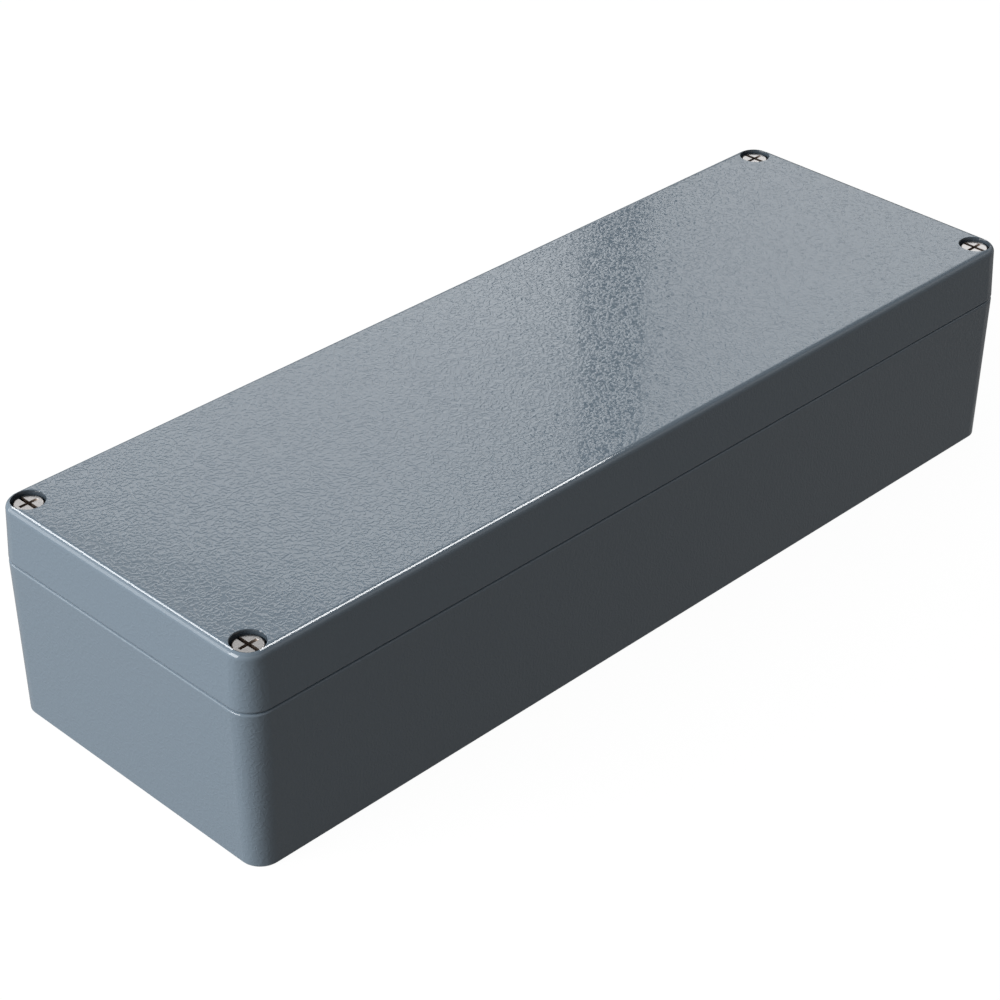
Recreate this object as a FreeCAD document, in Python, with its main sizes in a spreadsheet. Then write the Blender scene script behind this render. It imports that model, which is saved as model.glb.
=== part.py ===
import FreeCAD, Part
import os
import Sketcher

# Die cast aluminium box: a long tray and a deep lid with a tongue and groove seal
# that runs inside four corner blocks, held by four captive screws.
# Millimetres. X along the length, Y across, +Z up, origin at the centre of the underside.

VEC = FreeCAD.Vector

# Driving dimensions: name, value, what it sets
SIZES = [
    ("length", 360.3, "overall length at the parting plane"),
    ("width", 120.4, "overall width at the parting plane"),
    ("base_height", 58.2, "height of the parting plane"),
    ("lid_height", 20.8, "height of the lid above the parting plane"),
    ("corner_radius", 8.6, "vertical corner radius at the parting plane"),
    ("base_draft", 1.3, "degrees, outside of the base, narrower at the bottom"),
    ("lid_draft", 2.6, "degrees, outside of the lid, narrower at the top"),
    ("top_edge_radius", 2.5, "round along the lid's top edge"),
    ("lid_rim_radius", 1.2, "round on the lid's side of the parting line"),
    ("base_rim_radius", 0.8, "round on the base's side of the parting line"),
    ("bottom_edge_bevel", 0.5, "bevel along the underside"),
    ("base_wall", 4.8, "wall of the base at its rim"),
    ("floor_thickness", 4.2, "floor of the base"),
    ("core_draft", 1.5, "degrees, inside of the base"),
    ("inner_bevel", 1.2, "bevel where the floor or the roof meets the walls"),
    ("block_length", 19.6, "corner block along X, from the outer end face"),
    ("block_width", 29.0, "corner block along Y, from the outer side face"),
    ("cavity_corner_radius", 4.5, "corners of the hollow at the rim"),
    ("block_corner_radius", 5.0, "inner edge of each corner block at the rim"),
    ("tongue_width", 1.5, "sealing tongue on the rim of the base"),
    ("tongue_height", 2.5, "how far the tongue stands above the parting plane"),
    ("tongue_side_gap", 0.7, "groove in the lid beyond each side of the tongue"),
    ("lid_rib", 1.6, "inner rib of the lid beside the groove"),
    ("roof_thickness", 3.8, "flat top of the lid"),
    ("lid_core_draft", 2.0, "degrees, inside of the lid"),
    ("gasket_height", 2.5, "gasket when pressed by the tongue"),
    ("gasket_side_gap", 0.1, "gasket to each wall of the groove"),
    ("screw_inset_x", 8.15, "outer end face to the centre of a lid screw"),
    ("screw_inset_y", 8.2, "outer side face to the centre of a lid screw"),
    ("mounting_inset_x", 10.15, "outer end face to a wall mounting hole"),
    ("mounting_inset_y", 19.2, "outer side face to a wall mounting hole"),
    ("mounting_hole_diameter", 6.5, "wall mounting hole"),
    ("mounting_channel_diameter", 11.0, "channel for the head of a mounting screw"),
    ("mounting_ledge", 7.0, "thickness under a mounting screw's head"),
    ("thread_diameter", 6.0, "lid screw thread, outside"),
    ("thread_gap", 0.05, "screw thread to the wall of its hole"),
    ("screw_reach", 9.9, "tip of a lid screw below the parting plane"),
    ("shoulder_rise", 0.1, "top of a lid screw's thread above the parting plane"),
    ("thread_hole_spare", 4.0, "depth of the threaded hole past the screw's tip"),
    ("waist_diameter", 4.6, "shank of a lid screw between head and thread"),
    ("tip_chamfer", 0.8, "lead-in at the screw's tip"),
    ("head_diameter", 9.7, "cheese head"),
    ("head_height", 3.9, "cheese head"),
    ("head_edge_radius", 0.5, "round at the top of the head"),
    ("slot_width", 1.4, "screwdriver slot"),
    ("slot_depth", 1.5, "screwdriver slot"),
    ("cross_span", 6.8, "cross recess, tip to tip at the top"),
    ("cross_bottom_span", 2.2, "cross recess, tip to tip at the bottom"),
    ("cross_wing", 1.25, "cross recess, width of a wing"),
    ("cross_depth", 3.0, "cross recess"),
    ("counterbore_diameter", 11.0, "recess in the lid for a screw head"),
    ("head_recess", 1.3, "top of the screw head below the lid's top"),
    ("counterbore_rim", 0.25, "softened rim of the counterbore"),
    ("rim_slope", 45.0, "degrees, softened rim of the counterbore"),
    ("screw_web", 3.8, "lid material clamped under a screw head"),
    ("web_hole_gap", 0.3, "screw thread to the hole through the web"),
    ("washer_pocket_diameter", 11.4, "pocket in the lid round a retaining washer"),
    ("washer_diameter", 10.4, "retaining washer"),
    ("washer_thickness", 1.0, "retaining washer"),
    ("washer_gap", 0.15, "retaining washer to the screw's waist"),
    ("washer_rest_gap", 0.05, "retaining washer above the screw's thread"),
    ("boss_inset_x", 35.15, "outer end face to the outer pairs of inner bosses"),
    ("boss_inset_y", 20.2, "outer side face to each row of inner bosses"),
    ("boss_diameter", 9.0, "inner boss"),
    ("boss_height", 7.0, "inner boss above the floor"),
    ("boss_hole_diameter", 3.3, "threaded hole in an inner boss"),
    ("boss_hole_depth", 8.5, "threaded hole in an inner boss"),
    ("earth_inset", 22.15, "outer end face to the earth boss"),
    ("earth_boss_diameter", 15.0, "earth boss"),
    ("earth_boss_height", 8.0, "earth boss above the floor"),
    ("earth_screw_length", 8.0, "earth screw below its head"),
    ("earth_hole_spare", 1.2, "depth of the earth hole past the screw's tip"),
    ("earth_head_diameter", 11.5, "earth screw, pan head"),
    ("earth_head_height", 3.6, "earth screw, pan head"),
    ("earth_head_bevel", 1.0, "bevel at the top of the pan head"),
    ("earth_washer_diameter", 12.5, "clamping washer under the earth screw"),
    ("earth_washer_thickness", 1.2, "clamping washer under the earth screw"),
    ("earth_washer_gap", 0.2, "clamping washer to the screw"),
]


def fill_sheet(document):
    """Writes every driving dimension to the sheet, with its name as alias."""
    sheet = document.addObject("Spreadsheet::Sheet", "sizes")
    for row, (name, value, meaning) in enumerate(SIZES, start=1):
        sheet.set("A%d" % row, meaning)
        sheet.set("B%d" % row, str(value))
        sheet.setAlias("B%d" % row, name)
    return sheet


def new_body(document, name):
    body = document.addObject("PartDesign::Body", name)
    body.Label = name
    return body


def origin_plane(body, role):
    return next(item for item in body.Origin.OriginFeatures if item.Role == role)


def new_sketch(body, name, height="0", role="XY_Plane"):
    """A sketch on one of the body's own planes, raised along the plane's normal."""
    sketch = body.newObject("Sketcher::SketchObject", name)
    sketch.AttachmentSupport = (origin_plane(body, role), [""])
    sketch.MapMode = "FlatFace"
    sketch.setExpression(".AttachmentOffset.Base.z", height)
    return sketch


def constrain(sketch, name, expression, *arguments):
    """Adds a dimension that follows an expression on the sheet."""
    start = abs(sketch.evalExpression(expression))
    index = sketch.addConstraint(Sketcher.Constraint(*arguments, start))
    sketch.renameConstraint(index, name)
    sketch.setExpression("Constraints." + name, expression)


def number(sketch, expression):
    return float(sketch.evalExpression(expression))


def hold_side(sketch, name, line, axis, expression):
    """Keeps one side of an outline at its distance from the sketch's origin."""
    place = number(sketch, expression)
    if abs(place) < 1e-9:
        across = {"X": -2, "Y": -1}[axis]
        sketch.addConstraint(Sketcher.Constraint("PointOnObject", line, 1, across))
    elif place > 0:
        constrain(sketch, name, expression, "Distance" + axis, -1, 1, line, 1)
    else:
        constrain(sketch, name, "-(%s)" % expression, "Distance" + axis, line, 1, -1, 1)


def add_outline(sketch, name, corners):
    """A closed outline of sides along the sketch's axes, anticlockwise.

    Each corner is (x, y, radius) as expressions; a radius of None leaves it sharp.
    """
    count = len(corners)
    points = [VEC(number(sketch, x), number(sketch, y), 0) for x, y, _ in corners]
    radii = [0.0 if radius is None else number(sketch, radius) for _, _, radius in corners]
    ways = []
    for index in range(count):
        way = points[(index + 1) % count] - points[index]
        ways.append(way.normalize())

    lines = []
    for index in range(count):
        after = (index + 1) % count
        start = points[index] + ways[index] * radii[index]
        end = points[after] - ways[index] * radii[after]
        line = sketch.addGeometry(Part.LineSegment(start, end))
        lines.append(line)
        along_x = abs(ways[index].x) > 0.5
        sketch.addConstraint(Sketcher.Constraint("Horizontal" if along_x else "Vertical", line))
        axis, place = ("Y", corners[index][1]) if along_x else ("X", corners[index][0])
        hold_side(sketch, "%s_side_%d" % (name, index), line, axis, place)

    first_arc = {}
    for index in range(count):
        before, line = lines[index - 1], lines[index]
        radius = corners[index][2]
        if radius is None:
            sketch.addConstraint(Sketcher.Constraint("Coincident", before, 2, line, 1))
            continue
        way_in, way_out = ways[index - 1], ways[index]
        centre = points[index] + (way_out - way_in) * radii[index]
        start = (points[index] - way_in * radii[index]) - centre
        end = (points[index] + way_out * radii[index]) - centre
        left_turn = way_in.cross(way_out).z > 0
        if not left_turn:
            start, end = end, start
        angle = VEC(1, 0, 0).getAngle(start) * (1 if start.y >= 0 else -1)
        turn = start.getAngle(end)
        circle = Part.Circle(centre, VEC(0, 0, 1), radii[index])
        arc = sketch.addGeometry(Part.ArcOfCircle(circle, angle, angle + turn))
        arc_start, arc_end = (1, 2) if left_turn else (2, 1)
        sketch.addConstraint(Sketcher.Constraint("Tangent", before, 2, arc, arc_start))
        sketch.addConstraint(Sketcher.Constraint("Tangent", arc, arc_end, line, 1))
        if radius in first_arc:
            sketch.addConstraint(Sketcher.Constraint("Equal", first_arc[radius], arc))
        else:
            first_arc[radius] = arc
            constrain(sketch, "%s_radius_%d" % (name, index), radius, "Radius", arc)


def box_corners(half_x, half_y, radius):
    """Corners of a rounded rectangle about the origin, anticlockwise."""
    return [
        (half_x, "-(%s)" % half_y, radius),
        (half_x, half_y, radius),
        ("-(%s)" % half_x, half_y, radius),
        ("-(%s)" % half_x, "-(%s)" % half_y, radius),
    ]


def seal_corners(offset):
    """The hollow's outline at the rim, stepping round the four corner blocks.

    A positive offset moves the whole outline outwards, towards the outer faces.
    """
    far_x = "sizes.length / 2 - sizes.base_wall + (%s)" % offset
    far_y = "sizes.width / 2 - sizes.base_wall + (%s)" % offset
    near_x = "sizes.length / 2 - sizes.block_length + (%s)" % offset
    near_y = "sizes.width / 2 - sizes.block_width + (%s)" % offset
    outer = "sizes.cavity_corner_radius + (%s)" % offset
    inner = "sizes.block_corner_radius - (%s)" % offset

    def minus(expression):
        return "-(%s)" % expression

    return [
        (far_x, minus(near_y), outer),
        (far_x, near_y, outer),
        (near_x, near_y, inner),
        (near_x, far_y, outer),
        (minus(near_x), far_y, outer),
        (minus(near_x), near_y, inner),
        (minus(far_x), near_y, outer),
        (minus(far_x), minus(near_y), outer),
        (minus(near_x), minus(near_y), inner),
        (minus(near_x), minus(far_y), outer),
        (near_x, minus(far_y), outer),
        (near_x, minus(near_y), inner),
    ]


def add_circles(sketch, name, centres, diameter):
    """Circles of one diameter, each centre given as (x, y) expressions."""
    first = None
    for index, (x, y) in enumerate(centres):
        centre = VEC(number(sketch, x), number(sketch, y), 0)
        radius = number(sketch, diameter) / 2
        circle = sketch.addGeometry(Part.Circle(centre, VEC(0, 0, 1), radius))
        for axis, expression in (("X", x), ("Y", y)):
            hold_centre(sketch, "%s_%s_%d" % (name, axis.lower(), index), circle, axis, expression)
        if first is None:
            first = circle
            constrain(sketch, name + "_diameter", diameter, "Diameter", circle)
        else:
            sketch.addConstraint(Sketcher.Constraint("Equal", first, circle))


def hold_centre(sketch, name, circle, axis, expression):
    place = number(sketch, expression)
    if abs(place) < 1e-9:
        across = {"X": -2, "Y": -1}[axis]
        sketch.addConstraint(Sketcher.Constraint("PointOnObject", circle, 3, across))
    elif place > 0:
        constrain(sketch, name, expression, "Distance" + axis, -1, 1, circle, 3)
    else:
        constrain(sketch, name, "-(%s)" % expression, "Distance" + axis, circle, 3, -1, 1)


def side_places(length, inset):
    """The two places at an inset from both ends of a length about the origin."""
    reach = "(%s / 2 - %s)" % (length, inset)
    return "-" + reach, reach


def four_centres(inset_x, inset_y):
    """Centres at an inset from the outer faces, near the four corners."""
    return [
        (x, y)
        for x in side_places("sizes.length", inset_x)
        for y in side_places("sizes.width", inset_y)
    ]


def pad(body, name, sketch, length, down=False, draft=None):
    """Adds a prism on a sketch; a draft makes it narrower away from the sketch."""
    feature = body.newObject("PartDesign::Pad", name)
    feature.Profile = sketch
    feature.Reversed = down
    feature.setExpression("Length", length)
    if draft:
        feature.setExpression("TaperAngle", "-" + draft)
    body.Document.recompute()
    return feature


def pocket(body, name, sketch, length, up=False, draft=None):
    """Cuts a prism from a sketch; a draft makes it narrower away from the sketch."""
    feature = body.newObject("PartDesign::Pocket", name)
    feature.Profile = sketch
    feature.Reversed = up
    before = feature.BaseFeature.Shape.Volume
    feature.setExpression("Length", length)
    if draft:
        feature.setExpression("TaperAngle", "-" + draft)
    body.Document.recompute()
    if feature.Shape.Volume > before - 0.01:
        raise ValueError("%s cuts nothing from %s" % (name, body.Label))
    return feature


def revolve(body, name, sketch):
    feature = body.newObject("PartDesign::Revolution", name)
    feature.Profile = sketch
    feature.ReferenceAxis = (sketch, ["V_Axis"])
    feature.Angle = 360
    body.Document.recompute()
    return feature


def cut_across(body, name, sketch, width):
    """Cuts a sketch through the body, to both sides of the sketch's plane."""
    feature = body.newObject("PartDesign::Pocket", name)
    feature.Profile = sketch
    feature.SideType = "Symmetric"
    before = feature.BaseFeature.Shape.Volume
    feature.setExpression("Length", width)
    body.Document.recompute()
    if feature.Shape.Volume > before - 0.01:
        raise ValueError("%s cuts nothing from %s" % (name, body.Label))
    return feature


def flat_edges(feature, height):
    """Names of the feature's edges that lie level at a height."""
    names = []
    for index, edge in enumerate(feature.Shape.Edges, start=1):
        box = edge.BoundBox
        level = abs(box.ZMin - height) < 1e-3 and abs(box.ZMax - height) < 1e-3
        if level:
            names.append("Edge%d" % index)
    if not names:
        raise ValueError("no edge at height %s on %s" % (height, feature.Label))
    return names


def round_edges(body, name, base, edges, radius):
    feature = body.newObject("PartDesign::Fillet", name)
    feature.Base = (base, edges)
    feature.setExpression("Radius", radius)
    body.Document.recompute()
    return feature


def chamfer_edges(body, name, base, edges, size):
    feature = body.newObject("PartDesign::Chamfer", name)
    feature.Base = (base, edges)
    feature.setExpression("Size", size)
    body.Document.recompute()
    return feature


SCREW_CENTRES = four_centres("sizes.screw_inset_x", "sizes.screw_inset_y")
MOUNTING_CENTRES = four_centres("sizes.mounting_inset_x", "sizes.mounting_inset_y")
OUTER_BOSSES = four_centres("sizes.boss_inset_x", "sizes.boss_inset_y")
MIDDLE_BOSSES = [("0", y) for y in side_places("sizes.width", "sizes.boss_inset_y")]
EARTH_X = "sizes.earth_inset - sizes.length / 2"
THREAD_HOLE = "sizes.thread_diameter + 2 * sizes.thread_gap"
SEAT_RISE = "(sizes.lid_height - sizes.head_recess - sizes.head_height)"
SEAT_HEIGHT = "sizes.base_height + " + SEAT_RISE


def build_outside(body, height, draft, down):
    """The tapered outer block of the base or the lid, grown from the parting plane."""
    sketch = new_sketch(body, body.Label + "_outline", "sizes.base_height")
    corners = box_corners("sizes.length / 2", "sizes.width / 2", "sizes.corner_radius")
    add_outline(sketch, "outer", corners)
    return pad(body, body.Label + "_block", sketch, height, down=down, draft=draft)


def build_base(document, sizes):
    """The cast tray with its tongue, corner blocks, channels and inner bosses."""
    body = new_body(document, "base")
    block = build_outside(body, "sizes.base_height", "sizes.base_draft", down=True)
    rim = round_edges(
        body, "base_rim_round", block, flat_edges(block, sizes.base_height),
        "sizes.base_rim_radius",
    )
    chamfer_edges(
        body, "base_foot_bevel", rim, flat_edges(rim, 0), "sizes.bottom_edge_bevel"
    )

    hollow_sketch = new_sketch(body, "hollow_outline", "sizes.base_height")
    add_outline(hollow_sketch, "hollow", seal_corners("0"))
    hollow = pocket(
        body, "hollow", hollow_sketch, "sizes.base_height - sizes.floor_thickness",
        draft="sizes.core_draft",
    )
    chamfer_edges(
        body, "floor_bevel", hollow, flat_edges(hollow, sizes.floor_thickness),
        "sizes.inner_bevel",
    )

    tongue_sketch = new_sketch(body, "tongue_outline", "sizes.base_height")
    add_outline(tongue_sketch, "inside", seal_corners("0"))
    add_outline(tongue_sketch, "outside", seal_corners("sizes.tongue_width"))
    pad(body, "tongue", tongue_sketch, "sizes.tongue_height")

    thread_sketch = new_sketch(body, "thread_holes_outline", "sizes.base_height")
    add_circles(thread_sketch, "thread", SCREW_CENTRES, THREAD_HOLE)
    pocket(
        body, "thread_holes", thread_sketch, "sizes.screw_reach + sizes.thread_hole_spare"
    )

    channel_sketch = new_sketch(body, "mounting_channels_outline", "sizes.base_height")
    add_circles(channel_sketch, "channel", MOUNTING_CENTRES, "sizes.mounting_channel_diameter")
    pocket(
        body, "mounting_channels", channel_sketch, "sizes.base_height - sizes.mounting_ledge"
    )
    mounting_sketch = new_sketch(body, "mounting_holes_outline", "sizes.mounting_ledge")
    add_circles(mounting_sketch, "hole", MOUNTING_CENTRES, "sizes.mounting_hole_diameter")
    pocket(body, "mounting_holes", mounting_sketch, "sizes.mounting_ledge")

    build_bosses(body)
    return body


def build_bosses(body):
    """Six bosses for a mounting plate or rail, and one for the earth screw."""
    boss_sketch = new_sketch(body, "bosses_outline", "sizes.floor_thickness")
    add_circles(boss_sketch, "boss", OUTER_BOSSES + MIDDLE_BOSSES, "sizes.boss_diameter")
    pad(body, "bosses", boss_sketch, "sizes.boss_height")

    earth_sketch = new_sketch(body, "earth_boss_outline", "sizes.floor_thickness")
    add_circles(earth_sketch, "earth", [(EARTH_X, "0")], "sizes.earth_boss_diameter")
    pad(body, "earth_boss", earth_sketch, "sizes.earth_boss_height")

    boss_top = "sizes.floor_thickness + sizes.boss_height"
    hole_sketch = new_sketch(body, "boss_holes_outline", boss_top)
    add_circles(hole_sketch, "hole", OUTER_BOSSES + MIDDLE_BOSSES, "sizes.boss_hole_diameter")
    pocket(body, "boss_holes", hole_sketch, "sizes.boss_hole_depth")

    earth_top = "sizes.floor_thickness + sizes.earth_boss_height"
    earth_hole_sketch = new_sketch(body, "earth_hole_outline", earth_top)
    add_circles(earth_hole_sketch, "hole", [(EARTH_X, "0")], THREAD_HOLE)
    pocket(
        body, "earth_hole", earth_hole_sketch,
        "sizes.earth_screw_length - sizes.earth_washer_thickness + sizes.earth_hole_spare",
    )


def build_lid(document, sizes):
    """The deep lid with its gasket groove, inner rib and screw recesses."""
    body = new_body(document, "lid")
    top = sizes.base_height + sizes.lid_height
    block = build_outside(body, "sizes.lid_height", "sizes.lid_draft", down=False)
    crown = round_edges(
        body, "lid_top_round", block, flat_edges(block, top), "sizes.top_edge_radius"
    )
    round_edges(
        body, "lid_rim_round", crown, flat_edges(crown, sizes.base_height),
        "sizes.lid_rim_radius",
    )

    groove_sketch = new_sketch(body, "groove_outline", "sizes.base_height")
    add_outline(groove_sketch, "inside", seal_corners("-sizes.tongue_side_gap"))
    add_outline(
        groove_sketch, "outside", seal_corners("sizes.tongue_width + sizes.tongue_side_gap")
    )
    pocket(
        body, "groove", groove_sketch, "sizes.tongue_height + sizes.gasket_height", up=True
    )

    hollow_sketch = new_sketch(body, "lid_hollow_outline", "sizes.base_height")
    add_outline(hollow_sketch, "hollow", seal_corners("-sizes.tongue_side_gap - sizes.lid_rib"))
    hollow = pocket(
        body, "lid_hollow", hollow_sketch, "sizes.lid_height - sizes.roof_thickness",
        up=True, draft="sizes.lid_core_draft",
    )
    chamfer_edges(
        body, "roof_bevel", hollow, flat_edges(hollow, top - sizes.roof_thickness),
        "sizes.inner_bevel",
    )

    lid_top = "sizes.base_height + sizes.lid_height"
    rim_sketch = new_sketch(body, "counterbore_rims_outline", lid_top)
    rim_diameter = "sizes.counterbore_diameter + 2 * sizes.counterbore_rim"
    add_circles(rim_sketch, "rim", SCREW_CENTRES, rim_diameter)
    pocket(
        body, "counterbore_rims", rim_sketch, "sizes.counterbore_rim", draft="sizes.rim_slope"
    )
    recess_sketch = new_sketch(body, "counterbores_outline", lid_top)
    add_circles(recess_sketch, "recess", SCREW_CENTRES, "sizes.counterbore_diameter")
    pocket(body, "counterbores", recess_sketch, "sizes.head_recess + sizes.head_height")

    pocket_sketch = new_sketch(body, "washer_pockets_outline", "sizes.base_height")
    add_circles(pocket_sketch, "pocket", SCREW_CENTRES, "sizes.washer_pocket_diameter")
    pocket(
        body, "washer_pockets", pocket_sketch,
        SEAT_RISE + " - sizes.screw_web", up=True,
    )

    web_sketch = new_sketch(body, "web_holes_outline", SEAT_HEIGHT)
    add_circles(
        web_sketch, "web", SCREW_CENTRES, "sizes.thread_diameter + 2 * sizes.web_hole_gap"
    )
    pocket(body, "web_holes", web_sketch, "sizes.screw_web")
    return body


def build_gasket(document):
    """The ring in the lid's groove, with its face on the base's tongue."""
    body = new_body(document, "gasket")
    sketch = new_sketch(body, "gasket_outline", "sizes.base_height + sizes.tongue_height")
    spread = "sizes.tongue_side_gap - sizes.gasket_side_gap"
    add_outline(sketch, "inside", seal_corners("-(%s)" % spread))
    add_outline(sketch, "outside", seal_corners("sizes.tongue_width + (%s)" % spread))
    pad(body, "gasket_ring", sketch, "sizes.gasket_height")
    return body


def place_body(body, x, y, z):
    for axis, expression in (("x", x), ("y", y), ("z", z)):
        body.setExpression(".Placement.Base." + axis, expression)


def add_wedge(sketch, top, depth, top_span, bottom_span):
    """A symmetric wedge, wide at the top, for one pair of wings of a cross recess."""
    top_z, bottom_z = number(sketch, top), number(sketch, "%s - %s" % (top, depth))
    half_top, half_bottom = number(sketch, top_span) / 2, number(sketch, bottom_span) / 2
    points = [
        VEC(-half_bottom, bottom_z, 0),
        VEC(half_bottom, bottom_z, 0),
        VEC(half_top, top_z, 0),
        VEC(-half_top, top_z, 0),
    ]
    for index in range(4):
        sketch.addGeometry(Part.LineSegment(points[index], points[(index + 1) % 4]))
    for index in range(4):
        sketch.addConstraint(Sketcher.Constraint("Coincident", index, 2, (index + 1) % 4, 1))
    for line in (0, 2):
        sketch.addConstraint(Sketcher.Constraint("Symmetric", line, 1, line, 2, -2))
    constrain(sketch, "bottom_span", bottom_span, "Distance", 0)
    constrain(sketch, "top_span", top_span, "Distance", 2)
    hold_side(sketch, "top", 2, "Y", top)
    hold_side(sketch, "bottom", 0, "Y", "%s - %s" % (top, depth))


def build_lid_screw(document, name, x, y):
    """A captive cheese head screw with a waisted shank, a slot and a cross recess."""
    body = new_body(document, name)
    profile = new_sketch(body, name + "_profile", role="XZ_Plane")
    thread = "sizes.thread_diameter / 2"
    waist = "sizes.waist_diameter / 2"
    head = "sizes.head_diameter / 2"
    tip = "-(%s + sizes.screw_reach)" % SEAT_RISE
    shoulder = "sizes.shoulder_rise - " + SEAT_RISE
    add_outline(profile, "profile", [
        ("0", tip, None),
        (thread, tip, None),
        (thread, shoulder, None),
        (waist, shoulder, None),
        (waist, "0", None),
        (head, "0", None),
        (head, "sizes.head_height", None),
        ("0", "sizes.head_height", None),
    ])
    turned = revolve(body, name + "_turned", profile)
    top = body.Document.sizes.head_height
    rounded = round_edges(
        body, name + "_head_round", turned, flat_edges(turned, top), "sizes.head_edge_radius"
    )
    tip_edges = flat_edges(rounded, number(profile, tip))
    chamfer_edges(body, name + "_tip", rounded, tip_edges, "sizes.tip_chamfer")

    slot = new_sketch(body, name + "_slot_profile", role="XZ_Plane")
    half_slot = "sizes.slot_width / 2"
    slot_floor = "sizes.head_height - sizes.slot_depth"
    add_outline(slot, "slot", [
        ("-" + half_slot, slot_floor, None),
        (half_slot, slot_floor, None),
        (half_slot, "sizes.head_height", None),
        ("-" + half_slot, "sizes.head_height", None),
    ])
    cut_across(body, name + "_slot", slot, "2 * sizes.head_diameter")

    for direction, role in (("long", "YZ_Plane"), ("cross", "XZ_Plane")):
        wedge = new_sketch(body, "%s_%s_wings_profile" % (name, direction), role=role)
        add_wedge(
            wedge, "sizes.head_height", "sizes.cross_depth",
            "sizes.cross_span", "sizes.cross_bottom_span",
        )
        cut_across(body, "%s_%s_wings" % (name, direction), wedge, "sizes.cross_wing")
    place_body(body, x, y, SEAT_HEIGHT)
    return body


def build_retaining_washer(document, name, x, y):
    """The washer that rides on the thread's shoulder and keeps a screw in the lid."""
    body = new_body(document, name)
    sketch = new_sketch(body, name + "_outline")
    add_circles(sketch, "outer", [("0", "0")], "sizes.washer_diameter")
    add_circles(
        sketch, "inner", [("0", "0")], "sizes.waist_diameter + 2 * sizes.washer_gap"
    )
    pad(body, name + "_ring", sketch, "sizes.washer_thickness")
    place_body(body, x, y, "sizes.base_height + sizes.shoulder_rise + sizes.washer_rest_gap")
    return body


def build_earth_screw(document):
    """The slotted pan head screw on the earth boss."""
    body = new_body(document, "earth_screw")
    profile = new_sketch(body, "earth_screw_profile", role="XZ_Plane")
    thread = "sizes.thread_diameter / 2"
    head = "sizes.earth_head_diameter / 2"
    add_outline(profile, "profile", [
        ("0", "-sizes.earth_screw_length", None),
        (thread, "-sizes.earth_screw_length", None),
        (thread, "0", None),
        (head, "0", None),
        (head, "sizes.earth_head_height", None),
        ("0", "sizes.earth_head_height", None),
    ])
    turned = revolve(body, "earth_screw_turned", profile)
    top = document.sizes.earth_head_height
    tip_height = -document.sizes.earth_screw_length
    headed = chamfer_edges(
        body, "earth_head_bevel", turned, flat_edges(turned, top), "sizes.earth_head_bevel"
    )
    chamfer_edges(
        body, "earth_tip", headed, flat_edges(headed, tip_height), "sizes.tip_chamfer"
    )
    slot = new_sketch(body, "earth_slot_profile", role="XZ_Plane")
    half_slot = "sizes.slot_width / 2"
    slot_floor = "sizes.earth_head_height - sizes.slot_depth"
    add_outline(slot, "slot", [
        ("-" + half_slot, slot_floor, None),
        (half_slot, slot_floor, None),
        (half_slot, "sizes.earth_head_height", None),
        ("-" + half_slot, "sizes.earth_head_height", None),
    ])
    cut_across(body, "earth_slot", slot, "2 * sizes.earth_head_diameter")
    boss_top = "sizes.floor_thickness + sizes.earth_boss_height"
    place_body(body, EARTH_X, "0", boss_top + " + sizes.earth_washer_thickness")
    return body


def build_earth_washer(document):
    body = new_body(document, "earth_washer")
    sketch = new_sketch(body, "earth_washer_outline")
    add_circles(sketch, "outer", [("0", "0")], "sizes.earth_washer_diameter")
    add_circles(
        sketch, "inner", [("0", "0")], "sizes.thread_diameter + 2 * sizes.earth_washer_gap"
    )
    pad(body, "earth_washer_ring", sketch, "sizes.earth_washer_thickness")
    boss_top = "sizes.floor_thickness + sizes.earth_boss_height"
    place_body(body, EARTH_X, "0", boss_top)
    return body


CORNER_NAMES = ["front_left", "back_left", "front_right", "back_right"]


def build_parts(document):
    """Builds every separate piece of the box."""
    sizes = document.sizes
    bodies = [
        build_base(document, sizes),
        build_lid(document, sizes),
        build_gasket(document),
        build_earth_screw(document),
        build_earth_washer(document),
    ]
    for corner, (x, y) in zip(CORNER_NAMES, SCREW_CENTRES):
        bodies.append(build_lid_screw(document, "lid_screw_" + corner, x, y))
        bodies.append(build_retaining_washer(document, "retaining_washer_" + corner, x, y))
    document.recompute()
    return bodies


def check_document(document, bodies):
    """Stops if any object failed or a piece isn't one valid solid."""
    for item in document.Objects:
        if "Invalid" in item.State or "Error" in item.State:
            raise ValueError("%s failed: %s" % (item.Label, item.State))
    for body in bodies:
        shape = body.Shape
        if shape.isNull() or not shape.isValid() or len(shape.Solids) != 1:
            raise ValueError(body.Label + " isn't one valid solid")


def main():
    document = FreeCAD.newDocument("die_cast_box")
    fill_sheet(document)
    document.recompute()
    bodies = build_parts(document)
    check_document(document, bodies)
    os.makedirs("parts", exist_ok=True)
    for body in bodies:
        body.Shape.exportStep("parts/%s.step" % body.Label)
        print("%-32s %10.1f mm3" % (body.Label, body.Shape.Volume))


main()
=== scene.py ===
import math

import bmesh
import bpy
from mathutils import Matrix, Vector


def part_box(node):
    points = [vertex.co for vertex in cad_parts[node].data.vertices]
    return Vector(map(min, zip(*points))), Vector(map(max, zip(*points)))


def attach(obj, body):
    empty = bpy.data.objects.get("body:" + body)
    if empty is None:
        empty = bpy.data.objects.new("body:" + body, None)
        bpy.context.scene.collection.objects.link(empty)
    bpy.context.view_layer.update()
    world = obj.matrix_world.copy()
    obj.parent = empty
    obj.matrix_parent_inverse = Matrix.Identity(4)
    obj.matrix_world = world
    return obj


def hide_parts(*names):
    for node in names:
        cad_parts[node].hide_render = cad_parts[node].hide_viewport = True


# Looks of a die cast aluminium box: powder coated tray and lid, four captive lid screws,
# a sealing ring in the lid's groove and an earth terminal on the floor of the tray.
# Metres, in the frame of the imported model: X along the length, front side at -Y.

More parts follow.
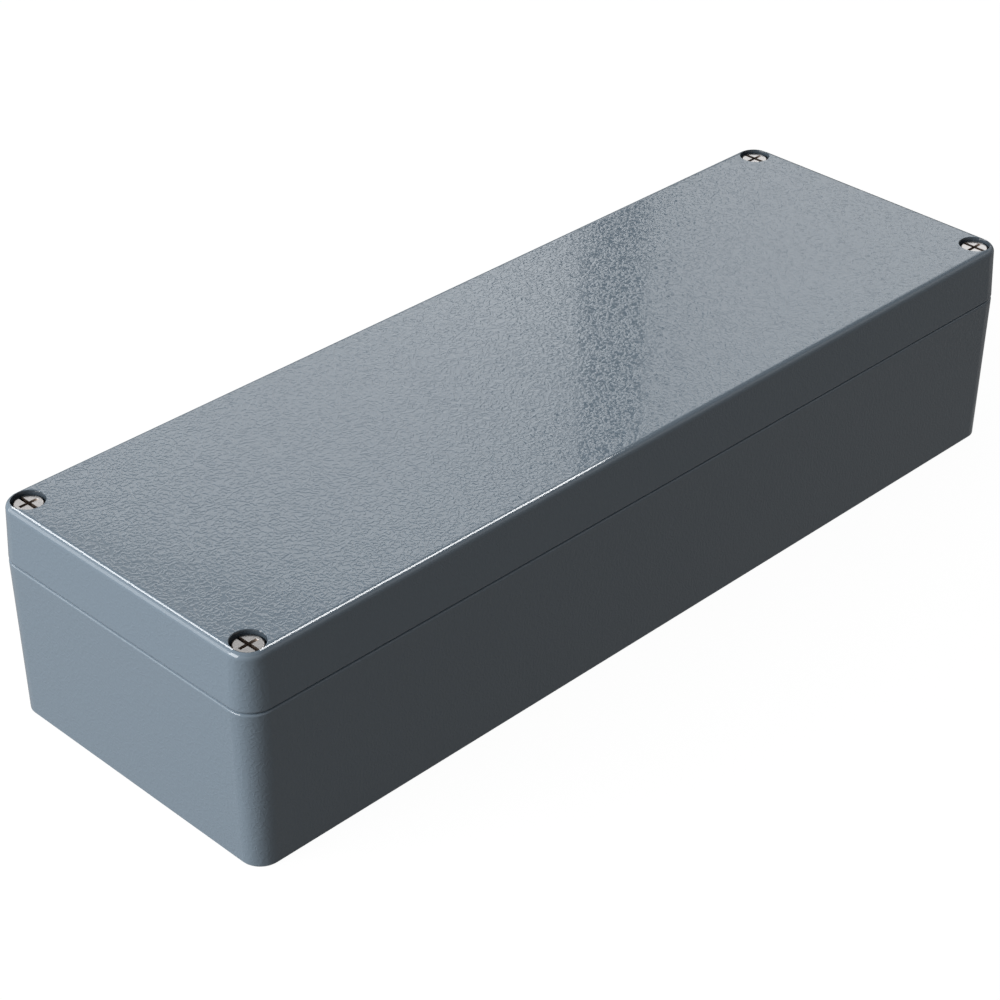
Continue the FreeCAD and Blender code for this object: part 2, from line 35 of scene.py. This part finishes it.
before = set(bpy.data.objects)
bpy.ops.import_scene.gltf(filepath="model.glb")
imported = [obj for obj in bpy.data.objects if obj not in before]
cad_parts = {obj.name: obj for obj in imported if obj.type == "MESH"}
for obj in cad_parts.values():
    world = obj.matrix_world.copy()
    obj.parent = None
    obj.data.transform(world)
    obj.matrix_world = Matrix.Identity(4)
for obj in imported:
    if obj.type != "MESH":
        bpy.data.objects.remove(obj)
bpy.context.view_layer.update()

MM = 0.001
TINY = 0.01 * MM
CORNERS = ("front_left", "back_left", "front_right", "back_right")
WHITE = (1.0, 1.0, 1.0, 1.0)

# Sockets of the Mix node: its two colours and their result, its two plain values and theirs
COLOUR_A, COLOUR_B, COLOUR_OUT = 6, 7, 2
VALUE_A, VALUE_B, VALUE_OUT = 2, 3, 0

# The back right lid screw's box gives the distance of all four axes and the head's top.
screw_low, screw_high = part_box("lid_screw_back_right")
SCREW_X = (screw_low.x + screw_high.x) / 2
SCREW_Y = (screw_low.y + screw_high.y) / 2
HEAD_TOP = screw_high.z

# The threaded end of an M6 lid screw
THREAD_LENGTH = 10.0 * MM
THREAD_PITCH = 1.0 * MM
THREAD_RADIUS = 3.0 * MM
CORE_RADIUS = 2.39 * MM


# Small helpers

def linear(hex_colour):
    """An sRGB hex colour as linear RGBA."""
    channels = [int(hex_colour[i:i + 2], 16) / 255 for i in (1, 3, 5)]
    return tuple(
        c / 12.92 if c <= 0.04045 else ((c + 0.055) / 1.055) ** 2.4 for c in channels
    ) + (1.0,)


def add(tree, kind, links=(), **settings):
    """Adds a node: settings are its properties, links are its inputs.

    An input is (socket, value), and a value that is a socket of another node is linked.
    """
    node = tree.nodes.new("ShaderNode" + kind)
    for name, value in settings.items():
        setattr(node, name, value)
    for socket, value in links:
        if isinstance(value, bpy.types.NodeSocket):
            tree.links.new(value, node.inputs[socket])
        else:
            node.inputs[socket].default_value = value
    return node


def new_material(name, colour, roughness, metallic=0.0):
    """A material with one Principled shader; returns the material, its tree and shader."""
    material = bpy.data.materials.new(name)
    material.use_nodes = True
    tree = material.node_tree
    shader = tree.nodes["Principled BSDF"]
    shader.inputs["Base Color"].default_value = linear(colour)
    shader.inputs["Roughness"].default_value = roughness
    shader.inputs["Metallic"].default_value = metallic
    material.diffuse_color = linear(colour)
    return material, tree, shader


def new_object(name, form, material):
    """Makes an object of a bmesh and gives it its finish."""
    mesh = bpy.data.meshes.new(name)
    form.to_mesh(mesh)
    form.free()
    mesh.materials.append(material)
    made = bpy.data.objects.new(name, mesh)
    bpy.context.scene.collection.objects.link(made)
    return made


def mesh_piece(name, form, material, body):
    """Makes a piece of a bmesh, gives it its finish and lets it ride on a body."""
    piece = new_object(name, form, material)
    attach(piece, body)
    return piece


# Materials

def from_screw_axis(tree, place):
    """How far a point lies from the axis of the lid screw in its own corner."""
    corner = add(tree, "VectorMath", [(0, place)], operation="ABSOLUTE")
    off_axis = add(tree, "VectorMath", [
        (0, corner.outputs["Vector"]), (1, (SCREW_X, SCREW_Y, 0.0)),
    ], operation="SUBTRACT")
    on_plan = add(tree, "VectorMath", [
        (0, off_axis.outputs["Vector"]), (1, (1.0, 1.0, 0.0)),
    ], operation="MULTIPLY")
    distance = add(tree, "VectorMath", [(0, on_plan.outputs["Vector"])], operation="LENGTH")
    return distance.outputs["Value"]


def powder_coat():
    """Polyester powder coat on die cast aluminium: a glossy skin over a fine wrinkle.

    The wrinkle's ridges are a few hundredths of a millimetre high, so flat faces mirror
    softly and break up wherever a light's edge falls on them. The real ridges are a little
    finer, and are drawn 1.6 mm apart, as coarse as they need to show.
    The coat flows out smooth over the rounds; in the counterbores its colour is darkened as
    painted shade.
    """
    coat, bore_shade_colour = "#7c8b98", "#49535c"
    bore_wall, beyond_wall = 5.6 * MM, 5.75 * MM
    wrinkle_spacing, wrinkle_height = 1.6 * MM, 0.036 * MM
    noise_middle, ridge_flank = 0.5, 0.2
    level_starts, level_full = 0.98, 0.998
    side_full, side_ends = 0.08, 0.2

    material, tree, shader = new_material("powder_coated_casting", coat, 0.05)
    shader.inputs["IOR"].default_value = 1.5
    place = add(tree, "TexCoord").outputs["Object"]
    # Painted shade: the coat's colour darkens inside the counterbores, where shade falls.
    bore_shade_mask = add(tree, "MapRange", [
        ("Value", from_screw_axis(tree, place)), ("From Min", beyond_wall),
        ("From Max", bore_wall),
    ])
    tone = add(tree, "Mix", [
        ("Factor", bore_shade_mask.outputs["Result"]), (COLOUR_A, linear(coat)),
        (COLOUR_B, linear(bore_shade_colour)),
    ], data_type="RGBA")
    tree.links.new(tone.outputs[COLOUR_OUT], shader.inputs["Base Color"])

    # A ridge runs along each line where the noise crosses its middle.
    noise = add(tree, "TexNoise", [
        ("Vector", place), ("Scale", 1 / wrinkle_spacing), ("Detail", 0.0),
        ("Distortion", 0.4),
    ])
    offset = add(tree, "Math", [
        (0, noise.outputs["Fac"]), (1, noise_middle),
    ], operation="SUBTRACT")
    away = add(tree, "Math", [(0, offset.outputs[0])], operation="ABSOLUTE")
    ridge = add(tree, "MapRange", [
        ("Value", away.outputs[0]), ("From Max", ridge_flank), ("To Min", 1.0), ("To Max", 0.0),
    ], interpolation_type="SMOOTHSTEP")

    # Level and upright faces are wrinkled, and the rounds between them are not: the limits
    # are how far up, from 0 to 1, a normal points.
    facing = add(tree, "SeparateXYZ", [("Vector", add(tree, "TexCoord").outputs["Normal"])])
    upward = add(tree, "Math", [(0, facing.outputs["Z"])], operation="ABSOLUTE")
    level = add(tree, "MapRange", [
        ("Value", upward.outputs[0]), ("From Min", level_starts), ("From Max", level_full),
    ])
    side = add(tree, "MapRange", [
        ("Value", upward.outputs[0]), ("From Min", side_full), ("From Max", side_ends),
        ("To Min", 1.0), ("To Max", 0.0),
    ])
    flat = add(tree, "Math", [(0, level.outputs[0]), (1, side.outputs[0])], operation="ADD")
    bump = add(tree, "Bump", [
        ("Strength", flat.outputs[0]), ("Distance", wrinkle_height),
        ("Height", ridge.outputs["Result"]),
    ])
    tree.links.new(bump.outputs["Normal"], shader.inputs["Normal"])
    return material


def stainless():
    """Stainless steel, A2, cold headed: satin with a fine grain in its gloss.

    The slot and cross, formed by a punch, are rougher than the head's flat face, and their
    colour is darkened and browned as painted shade. The cross is 3.0 mm deep, and the rough,
    darkened band ends a little below it, above the head's neck.
    """
    steel, recess_shade_colour = "#a19f9e", "#74685f"
    grain_size = 0.5 * MM
    recess_top, below_cross = HEAD_TOP - 0.02 * MM, HEAD_TOP - 3.2 * MM
    recess_radius = 4.7 * MM
    top_blend, blend = 0.04 * MM, 0.05 * MM
    punched_roughness = 0.6

    material, tree, shader = new_material("stainless_steel", steel, 0.2, 1.0)
    place = add(tree, "TexCoord").outputs["Object"]
    grain = add(tree, "TexNoise", [
        ("Vector", place), ("Scale", 1 / grain_size), ("Detail", 3.0),
    ])
    satin = add(tree, "MapRange", [
        ("Value", grain.outputs["Fac"]), ("To Min", 0.14), ("To Max", 0.26),
    ])
    height = add(tree, "SeparateXYZ", [("Vector", place)]).outputs["Z"]
    below_top = add(tree, "MapRange", [
        ("Value", height), ("From Min", recess_top), ("From Max", recess_top - top_blend),
    ])
    above_neck = add(tree, "MapRange", [
        ("Value", height), ("From Min", below_cross), ("From Max", below_cross + blend),
    ])
    inside = add(tree, "MapRange", [
        ("Value", from_screw_axis(tree, place)), ("From Min", recess_radius),
        ("From Max", recess_radius - blend),
    ])
    band = add(tree, "Math", [
        (0, below_top.outputs["Result"]), (1, above_neck.outputs["Result"]),
    ], operation="MULTIPLY")
    recess_rough_and_shaded = add(tree, "Math", [
        (0, band.outputs[0]), (1, inside.outputs["Result"]),
    ], operation="MULTIPLY")
    # Painted shade: the slot and cross take a darker, browner colour; their rougher gloss is
    # real.
    tone = add(tree, "Mix", [
        ("Factor", recess_rough_and_shaded.outputs[0]), (COLOUR_A, linear(steel)),
        (COLOUR_B, linear(recess_shade_colour)),
    ], data_type="RGBA")
    gloss = add(tree, "Mix", [
        ("Factor", recess_rough_and_shaded.outputs[0]), (VALUE_A, satin.outputs["Result"]),
        (VALUE_B, punched_roughness),
    ], data_type="FLOAT")
    tree.links.new(tone.outputs[COLOUR_OUT], shader.inputs["Base Color"])
    tree.links.new(gloss.outputs[VALUE_OUT], shader.inputs["Roughness"])
    return material


def zinc_plate():
    """Bright zinc plate, passivated: a bluish steel grey with a faint cloud."""
    cloud_size = 2.5 * MM
    material, tree, shader = new_material("zinc_plated_steel", "#c3c6c9", 0.3, 1.0)
    place = add(tree, "TexCoord").outputs["Object"]
    cloud = add(tree, "TexNoise", [
        ("Vector", place), ("Scale", 1 / cloud_size), ("Detail", 4.0),
    ])
    gloss = add(tree, "MapRange", [
        ("Value", cloud.outputs["Fac"]), ("To Min", 0.24), ("To Max", 0.42),
    ])
    tree.links.new(gloss.outputs["Result"], shader.inputs["Roughness"])
    return material


def nylon():
    """Natural nylon, moulded: milky white, slightly see-through, satin."""
    skin_grain, skin_height = 0.4 * MM, 0.02 * MM
    material, tree, shader = new_material("washer_nylon", "#e2dfd2", 0.42)
    shader.inputs["IOR"].default_value = 1.53
    shader.inputs["Subsurface Weight"].default_value = 0.15
    shader.inputs["Subsurface Radius"].default_value = (2.0 * MM, 2.0 * MM, 1.8 * MM)
    place = add(tree, "TexCoord").outputs["Object"]
    skin = add(tree, "TexNoise", [("Vector", place), ("Scale", 1 / skin_grain)])
    bump = add(tree, "Bump", [
        ("Strength", 0.2), ("Distance", skin_height), ("Height", skin.outputs["Fac"]),
    ])
    tree.links.new(bump.outputs["Normal"], shader.inputs["Normal"])
    return material


def seal_rubber():
    """EPDM rubber cord, extruded: near black, matt, with a fine bloom."""
    bloom_size = 3 * MM
    material, tree, shader = new_material("seal_rubber", "#1d1e20", 0.7)
    place = add(tree, "TexCoord").outputs["Object"]
    bloom = add(tree, "TexNoise", [
        ("Vector", place), ("Scale", 1 / bloom_size), ("Detail", 5.0),
    ])
    tone = add(tree, "Mix", [
        ("Factor", bloom.outputs["Fac"]), (COLOUR_A, linear("#191a1c")),
        (COLOUR_B, linear("#26282a")),
    ], data_type="RGBA")
    tree.links.new(tone.outputs[COLOUR_OUT], shader.inputs["Base Color"])
    return material


COAT = powder_coat()
STEEL = stainless()
ZINC = zinc_plate()
NYLON = nylon()
RUBBER = seal_rubber()

finishes = {
    "base": COAT, "lid": COAT, "gasket": RUBBER, "earth_screw": ZINC, "earth_washer": ZINC,
}
for corner in CORNERS:
    finishes["lid_screw_" + corner] = STEEL
    finishes["retaining_washer_" + corner] = NYLON
for node, finish in finishes.items():
    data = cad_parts[node].data
    if not data.materials:
        data.materials.append(finish)
    for index in range(len(data.materials)):
        data.materials[index] = finish


# Pieces

def smooth(piece):
    """Smooth shading that keeps level faces flat and every edge over 30 degrees sharp."""
    sharp_angle, level_normal = math.radians(30), 0.999
    piece.data.shade_smooth()
    piece.data.set_sharp_from_angle(angle=sharp_angle)
    for face in piece.data.polygons:
        if abs(face.normal.z) > level_normal:
            face.use_smooth = False


def add_form(target, source):
    """Joins one bmesh into another."""
    mesh = bpy.data.meshes.new("joined")
    source.to_mesh(mesh)
    source.free()
    target.from_mesh(mesh)
    bpy.data.meshes.remove(mesh)


def thread_ridge():
    """A 60 degree thread wound up the Z axis from the origin, chamfered at both ends."""
    half_foot, half_crest = 0.48 * THREAD_PITCH, 0.08 * THREAD_PITCH
    sunk = CORE_RADIUS - 0.05 * MM
    chamfer_start = CORE_RADIUS - 0.1 * MM
    steps_per_turn = 28
    steps = round(steps_per_turn * (THREAD_LENGTH / THREAD_PITCH - 1))

    form = bmesh.new()
    section = [
        form.verts.new(point) for point in (
            (sunk, 0.0, -half_foot), (THREAD_RADIUS, 0.0, -half_crest),
            (THREAD_RADIUS, 0.0, half_crest), (sunk, 0.0, half_foot),
        )
    ]
    edges = [form.edges.new((section[k - 1], section[k])) for k in range(4)]
    bmesh.ops.translate(form, verts=section, vec=(0.0, 0.0, THREAD_PITCH / 2))
    bmesh.ops.spin(
        form, geom=section + edges, cent=(0.0, 0.0, 0.0), axis=(0.0, 0.0, 1.0),
        dvec=(0.0, 0.0, THREAD_PITCH / steps_per_turn),
        angle=2 * math.pi * steps / steps_per_turn, steps=steps,
    )
    bmesh.ops.holes_fill(form, edges=form.edges, sides=4)
    for vert in form.verts:
        reach = vert.co.xy.length
        from_end = min(vert.co.z, THREAD_LENGTH - vert.co.z)
        limit = max(sunk, min(THREAD_RADIUS, chamfer_start + from_end))
        if reach > limit:
            vert.co.xy *= limit / reach
    bmesh.ops.recalc_face_normals(form, faces=form.faces)
    return form


def threaded_end(overlap):
    """The thread's core, bevelled at its tip and reaching past the thread, with its ridge."""
    core_length = THREAD_LENGTH + overlap
    tip_bevel = 0.4 * MM
    core = bmesh.new()
    made = bmesh.ops.create_cone(
        core, cap_ends=True, segments=40, radius1=CORE_RADIUS, radius2=CORE_RADIUS,
        depth=core_length,
    )
    bmesh.ops.translate(core, verts=made["verts"], vec=(0.0, 0.0, core_length / 2))
    tip = [edge for edge in core.edges if all(vert.co.z < TINY for vert in edge.verts)]
    bmesh.ops.bevel(
        core, geom=tip, offset=tip_bevel, segments=1, profile=0.5, affect="EDGES", material=-1
    )
    add_form(core, thread_ridge())
    return core


def build_lid_screw(corner):
    """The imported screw's head and waist on an M6 threaded end with a real helix."""
    node = "lid_screw_" + corner
    low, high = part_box(node)
    tip_centre = Vector(((low.x + high.x) / 2, (low.y + high.y) / 2, low.z))
    overlap = 0.2 * MM
    merge_distance = 0.001 * MM

    form = bmesh.new()
    form.from_mesh(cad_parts[node].data)
    bmesh.ops.remove_doubles(form, verts=form.verts, dist=merge_distance)
    everything = form.verts[:] + form.edges[:] + form.faces[:]
    cut = bmesh.ops.bisect_plane(
        form, geom=everything, plane_co=(0.0, 0.0, low.z + THREAD_LENGTH + overlap),
        plane_no=(0.0, 0.0, 1.0), clear_inner=True,
    )
    rim = [item for item in cut["geom_cut"] if isinstance(item, bmesh.types.BMEdge)]
    bmesh.ops.contextual_create(form, geom=rim)

    thread = threaded_end(overlap)
    bmesh.ops.translate(thread, verts=thread.verts, vec=tip_centre)
    add_form(form, thread)
    piece = mesh_piece("threaded_" + node, form, STEEL, "screw_" + corner)
    smooth(piece)
    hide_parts(node)


def build_sealing_ring():
    """The extruded rubber ring in the lid's groove, round-shouldered and mitre free.

    Its outline steps round the four corner blocks, as the groove does.
    """
    low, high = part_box("gasket")
    width = 2.7 * MM
    step_x, step_y = 14.8 * MM, 24.2 * MM
    outer_radius, inner_radius = 6.6 * MM, 2.9 * MM
    shoulder_radius = 0.7 * MM
    sharp_fold = 1.0
    near_x, near_y = high.x - step_x, high.y - step_y
    quarter = [(high.x, near_y), (near_x, near_y), (near_x, high.y)]
    outline = (
        quarter + [(-x, y) for x, y in reversed(quarter)]
        + [(-x, -y) for x, y in quarter] + [(x, -y) for x, y in reversed(quarter)]
    )

    form = bmesh.new()
    verts = [form.verts.new((x, y, low.z)) for x, y in outline]
    form.faces.new(verts)
    inner_turns = verts[1::3]
    outer_turns = verts[0::3] + verts[2::3]
    for turns, radius in ((outer_turns, outer_radius), (inner_turns, inner_radius)):
        bmesh.ops.bevel(
            form, geom=turns, offset=radius, segments=10, profile=0.5, affect="VERTICES",
            material=-1,
        )
    form.normal_update()
    hole = form.faces[:]
    bmesh.ops.inset_region(
        form, faces=hole, thickness=width, use_even_offset=True, use_boundary=True
    )
    bmesh.ops.delete(form, geom=hole, context="FACES_ONLY")
    raised = bmesh.ops.extrude_face_region(form, geom=form.faces[:])
    top = [item for item in raised["geom"] if isinstance(item, bmesh.types.BMVert)]
    bmesh.ops.translate(form, verts=top, vec=(0.0, 0.0, high.z - low.z))
    bmesh.ops.recalc_face_normals(form, faces=form.faces)
    shoulders = [
        edge for edge in form.edges
        if abs(edge.verts[0].co.z - edge.verts[1].co.z) < TINY
        and len(edge.link_faces) == 2 and edge.calc_face_angle() > sharp_fold
    ]
    bmesh.ops.bevel(
        form, geom=shoulders, offset=shoulder_radius, segments=4, profile=0.5,
        affect="EDGES", material=-1,
    )
    piece = mesh_piece("sealing_ring", form, RUBBER, "lid")
    smooth(piece)
    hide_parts("gasket")


for corner in CORNERS:
    build_lid_screw(corner)
build_sealing_ring()


# Studio: floor, world, lamps and camera

def floor_paper():
    """Pale paper: white to the camera, and a darker floor to what mirrors it.

    In reflections the floor's glow is dimmed past the box's right end and back side, within a
    soft band, as painted shade.
    """
    limits = {
        "end": ("X", 0.19), "front": ("Y", -0.075), "back": ("Y", 0.09), "left": ("X", -0.15),
    }
    band = 0.06
    mirrored_near, mirrored_shade_level, camera_level = 0.32, 0.1, 0.97
    dull_paper, seen_paper = (0.04, 0.04, 0.04, 1.0), (0.06, 0.06, 0.06, 1.0)

    material = bpy.data.materials.new("studio_floor")
    material.use_nodes = True
    tree = material.node_tree
    tree.nodes.clear()
    path = add(tree, "LightPath")
    seen = add(tree, "Math", [
        (0, path.outputs["Is Camera Ray"]), (1, path.outputs["Is Glossy Ray"]),
    ], operation="MAXIMUM")
    seen = add(tree, "Math", [
        (0, seen.outputs[0]), (1, path.outputs["Is Transmission Ray"]),
    ], operation="MAXIMUM")
    place = add(tree, "SeparateXYZ", [("Vector", add(tree, "TexCoord").outputs["Object"])])
    past = {}
    for name, (axis, limit) in limits.items():
        excess = add(tree, "Math", [
            (0, place.outputs[axis]), (1, limit),
        ], operation="SUBTRACT")
        past[name] = excess.outputs[0]
    right_side = add(tree, "Math", [(0, past["end"]), (1, past["front"])], operation="MINIMUM")
    back_side = add(tree, "Math", [(0, past["back"]), (1, past["left"])], operation="MINIMUM")
    beyond = add(tree, "Math", [
        (0, right_side.outputs[0]), (1, back_side.outputs[0]),
    ], operation="MAXIMUM")
    # Painted shade: the floor's glow in reflections drops past the box's right end and back
    # side.
    mirrored = add(tree, "MapRange", [
        ("Value", beyond.outputs[0]), ("From Max", band), ("To Min", mirrored_near),
        ("To Max", mirrored_shade_level),
    ])
    level = add(tree, "MapRange", [
        ("Value", path.outputs["Is Camera Ray"]), ("To Min", mirrored.outputs["Result"]),
        ("To Max", camera_level),
    ])
    glow = add(tree, "Emission", [("Color", WHITE), ("Strength", level.outputs["Result"])])
    dull = add(tree, "BsdfDiffuse", [("Color", dull_paper)])
    paper = add(tree, "BsdfDiffuse", [("Color", seen_paper)])
    white = add(tree, "AddShader", [(0, paper.outputs[0]), (1, glow.outputs[0])])
    both = add(tree, "MixShader", [
        ("Fac", seen.outputs[0]), (1, dull.outputs[0]), (2, white.outputs[0]),
    ])
    end = add(tree, "OutputMaterial")
    tree.links.new(both.outputs[0], end.inputs["Surface"])
    return material


def build_floor():
    """A plain pale floor under a faint shadow."""
    half_size = 6.0
    form = bmesh.new()
    bmesh.ops.create_grid(form, x_segments=1, y_segments=1, size=half_size)
    floor = new_object("floor", form, floor_paper())


def build_world():
    """White to the camera, in reflections a pale band between greys, and a weak fill."""
    dim_below, bright_above = math.sin(math.radians(12)), math.sin(math.radians(26))
    bright_below, grey_above = math.sin(math.radians(33)), math.sin(math.radians(41))
    horizon_level, band_level, overhead_share = 0.4, 0.88, 0.3
    fill_level = 0.2

    world = bpy.data.worlds.new("studio")
    bpy.context.scene.world = world
    world.use_nodes = True
    tree = world.node_tree
    tree.nodes.clear()
    way = add(tree, "TexCoord").outputs["Generated"]
    height = add(tree, "SeparateXYZ", [("Vector", way)]).outputs["Z"]
    rise = add(tree, "MapRange", [
        ("Value", height), ("From Min", dim_below), ("From Max", bright_above),
        ("To Min", horizon_level), ("To Max", band_level),
    ], interpolation_type="SMOOTHSTEP")
    fall = add(tree, "MapRange", [
        ("Value", height), ("From Min", bright_below), ("From Max", grey_above),
        ("To Min", 1.0), ("To Max", overhead_share),
    ], interpolation_type="SMOOTHSTEP")
    sky = add(tree, "Math", [
        (0, rise.outputs["Result"]), (1, fall.outputs["Result"]),
    ], operation="MULTIPLY")
    path = add(tree, "LightPath")
    mirrored = add(tree, "Background", [("Color", WHITE), ("Strength", sky.outputs[0])])
    seen = add(tree, "Background", [("Color", WHITE), ("Strength", 1.0)])
    fill = add(tree, "Background", [("Color", WHITE), ("Strength", fill_level)])
    glossy = add(tree, "MixShader", [
        ("Fac", path.outputs["Is Glossy Ray"]), (1, fill.outputs[0]), (2, mirrored.outputs[0]),
    ])
    camera = add(tree, "MixShader", [
        ("Fac", path.outputs["Is Camera Ray"]), (1, glossy.outputs[0]), (2, seen.outputs[0]),
    ])
    end = add(tree, "OutputWorld")
    tree.links.new(camera.outputs[0], end.inputs["Surface"])


def add_lamp(name, place, target, size, radiance, diffuse=True):
    """A soft oblong lamp aimed at a point, as bright all over as the radiance says."""
    light = bpy.data.lights.new(name, "AREA")
    light.shape = "RECTANGLE"
    light.size, light.size_y = size
    light.energy = radiance * math.pi * size[0] * size[1]
    lamp = bpy.data.objects.new(name, light)
    lamp.location = Vector(place)
    lamp.rotation_euler = (Vector(target) - Vector(place)).to_track_quat("-Z", "Y").to_euler()
    lamp.visible_camera = False
    lamp.visible_diffuse = diffuse
    bpy.context.scene.collection.objects.link(lamp)


def light_wall(name, start, end, heights, radiance, inward):
    """An upright light panel between two heights and two places on the floor plan."""
    a, b = Vector((*start, 0.0)), Vector((*end, 0.0))
    foot, head = heights
    middle = (a + b) / 2 + Vector((0.0, 0.0, (foot + head) / 2))
    across = (b - a).normalized()
    facing = Vector((0.0, 0.0, 1.0)).cross(across)
    if facing.dot(Vector(inward)) < 0:
        facing = -facing
    add_lamp(name, middle, middle + facing, ((b - a).length, head - foot), radiance)


def build_flag(start, end, heights):
    """An upright black card, seen only in reflections: the dark stripe across the lid."""
    low, high = heights
    form = bmesh.new()
    foot = form.edges.new([form.verts.new((*spot, low)) for spot in (start, end)])
    raised = bmesh.ops.extrude_edge_only(form, edges=[foot])
    top = [item for item in raised["geom"] if isinstance(item, bmesh.types.BMVert)]
    bmesh.ops.translate(form, verts=top, vec=(0.0, 0.0, high - low))
    felt = new_material("black_felt", "#2b2b2b", 0.9)[0]
    flag = new_object("flag", form, felt)
    flag.visible_camera = False
    flag.visible_diffuse = False
    flag.visible_shadow = False
    flag.visible_transmission = False


def light_studio():
    """Long panels that the box mirrors, a lamp overhead and two strips for the edges."""
    from_left, from_back_left = (1.0, -0.2, 0.0), (1.0, -1.0, 0.0)
    left_corner = (-2.07, 1.40)
    light_wall(
        "wall_left", left_corner, (-1.2, 2.4), heights=(0.0, 1.3), radiance=2.5,
        inward=from_back_left,
    )
    light_wall(
        "key_left", (-2.50, -0.17), left_corner, heights=(0.3, 2.0), radiance=8.2,
        inward=from_left,
    )

    # The panels behind the box, which the lid mirrors, with a narrow gap between them
    to_box = (-1.0, -1.0, 0.0)
    gap_left, gap_right, far_left = (1.621, 1.497), (1.765, 1.509), (1.27, 2.64)
    light_wall(
        "back_left", gap_left, far_left, heights=(0.85, 1.87), radiance=1.17, inward=to_box
    )
    light_wall(
        "back_left_top", gap_left, far_left, heights=(1.6, 1.87), radiance=0.9, inward=to_box
    )
    light_wall(
        "back_left_low", gap_left, (1.533, 1.783), heights=(0.85, 1.36), radiance=0.4,
        inward=to_box,
    )
    light_wall(
        "back_right", gap_right, (2.8, 0.3), heights=(0.85, 2.4), radiance=1.09, inward=to_box
    )

    add_lamp("overhead", (0.1, 0.2, 1.95), (0.0, 0.0, 0.08), size=(0.8, 0.8), radiance=1.2)
    add_lamp(
        "edge_strip_left", (-0.34, 0.84, 0.99), (-0.18, 0.0, 0.08), size=(0.26, 0.5),
        radiance=12.0, diffuse=False,
    )
    add_lamp(
        "edge_strip_front", (0.574, -0.11, 1.193), (-0.116, -0.06, 0.123), size=(0.3, 0.46),
        radiance=16.0, diffuse=False,
    )
    build_flag((1.622, 1.495), (1.764, 1.508), heights=(0.6, 2.6))


def build_camera():
    """The photograph's view: 45 degrees round from the front, 33 above, a long lens."""
    camera = bpy.data.objects.new("camera", bpy.data.cameras.new("camera"))
    camera.data.lens = 95.06
    camera.data.sensor_width = 36.0
    camera.location = (-0.55113, -0.53248, 0.52130)
    camera.rotation_euler = (math.radians(57), 0.0, math.radians(-45))
    camera.data.clip_start = 0.01
    bpy.context.scene.collection.objects.link(camera)
    bpy.context.scene.camera = camera


build_floor()
build_world()
light_studio()
build_camera()
bpy.context.scene.view_settings.view_transform = "Standard"
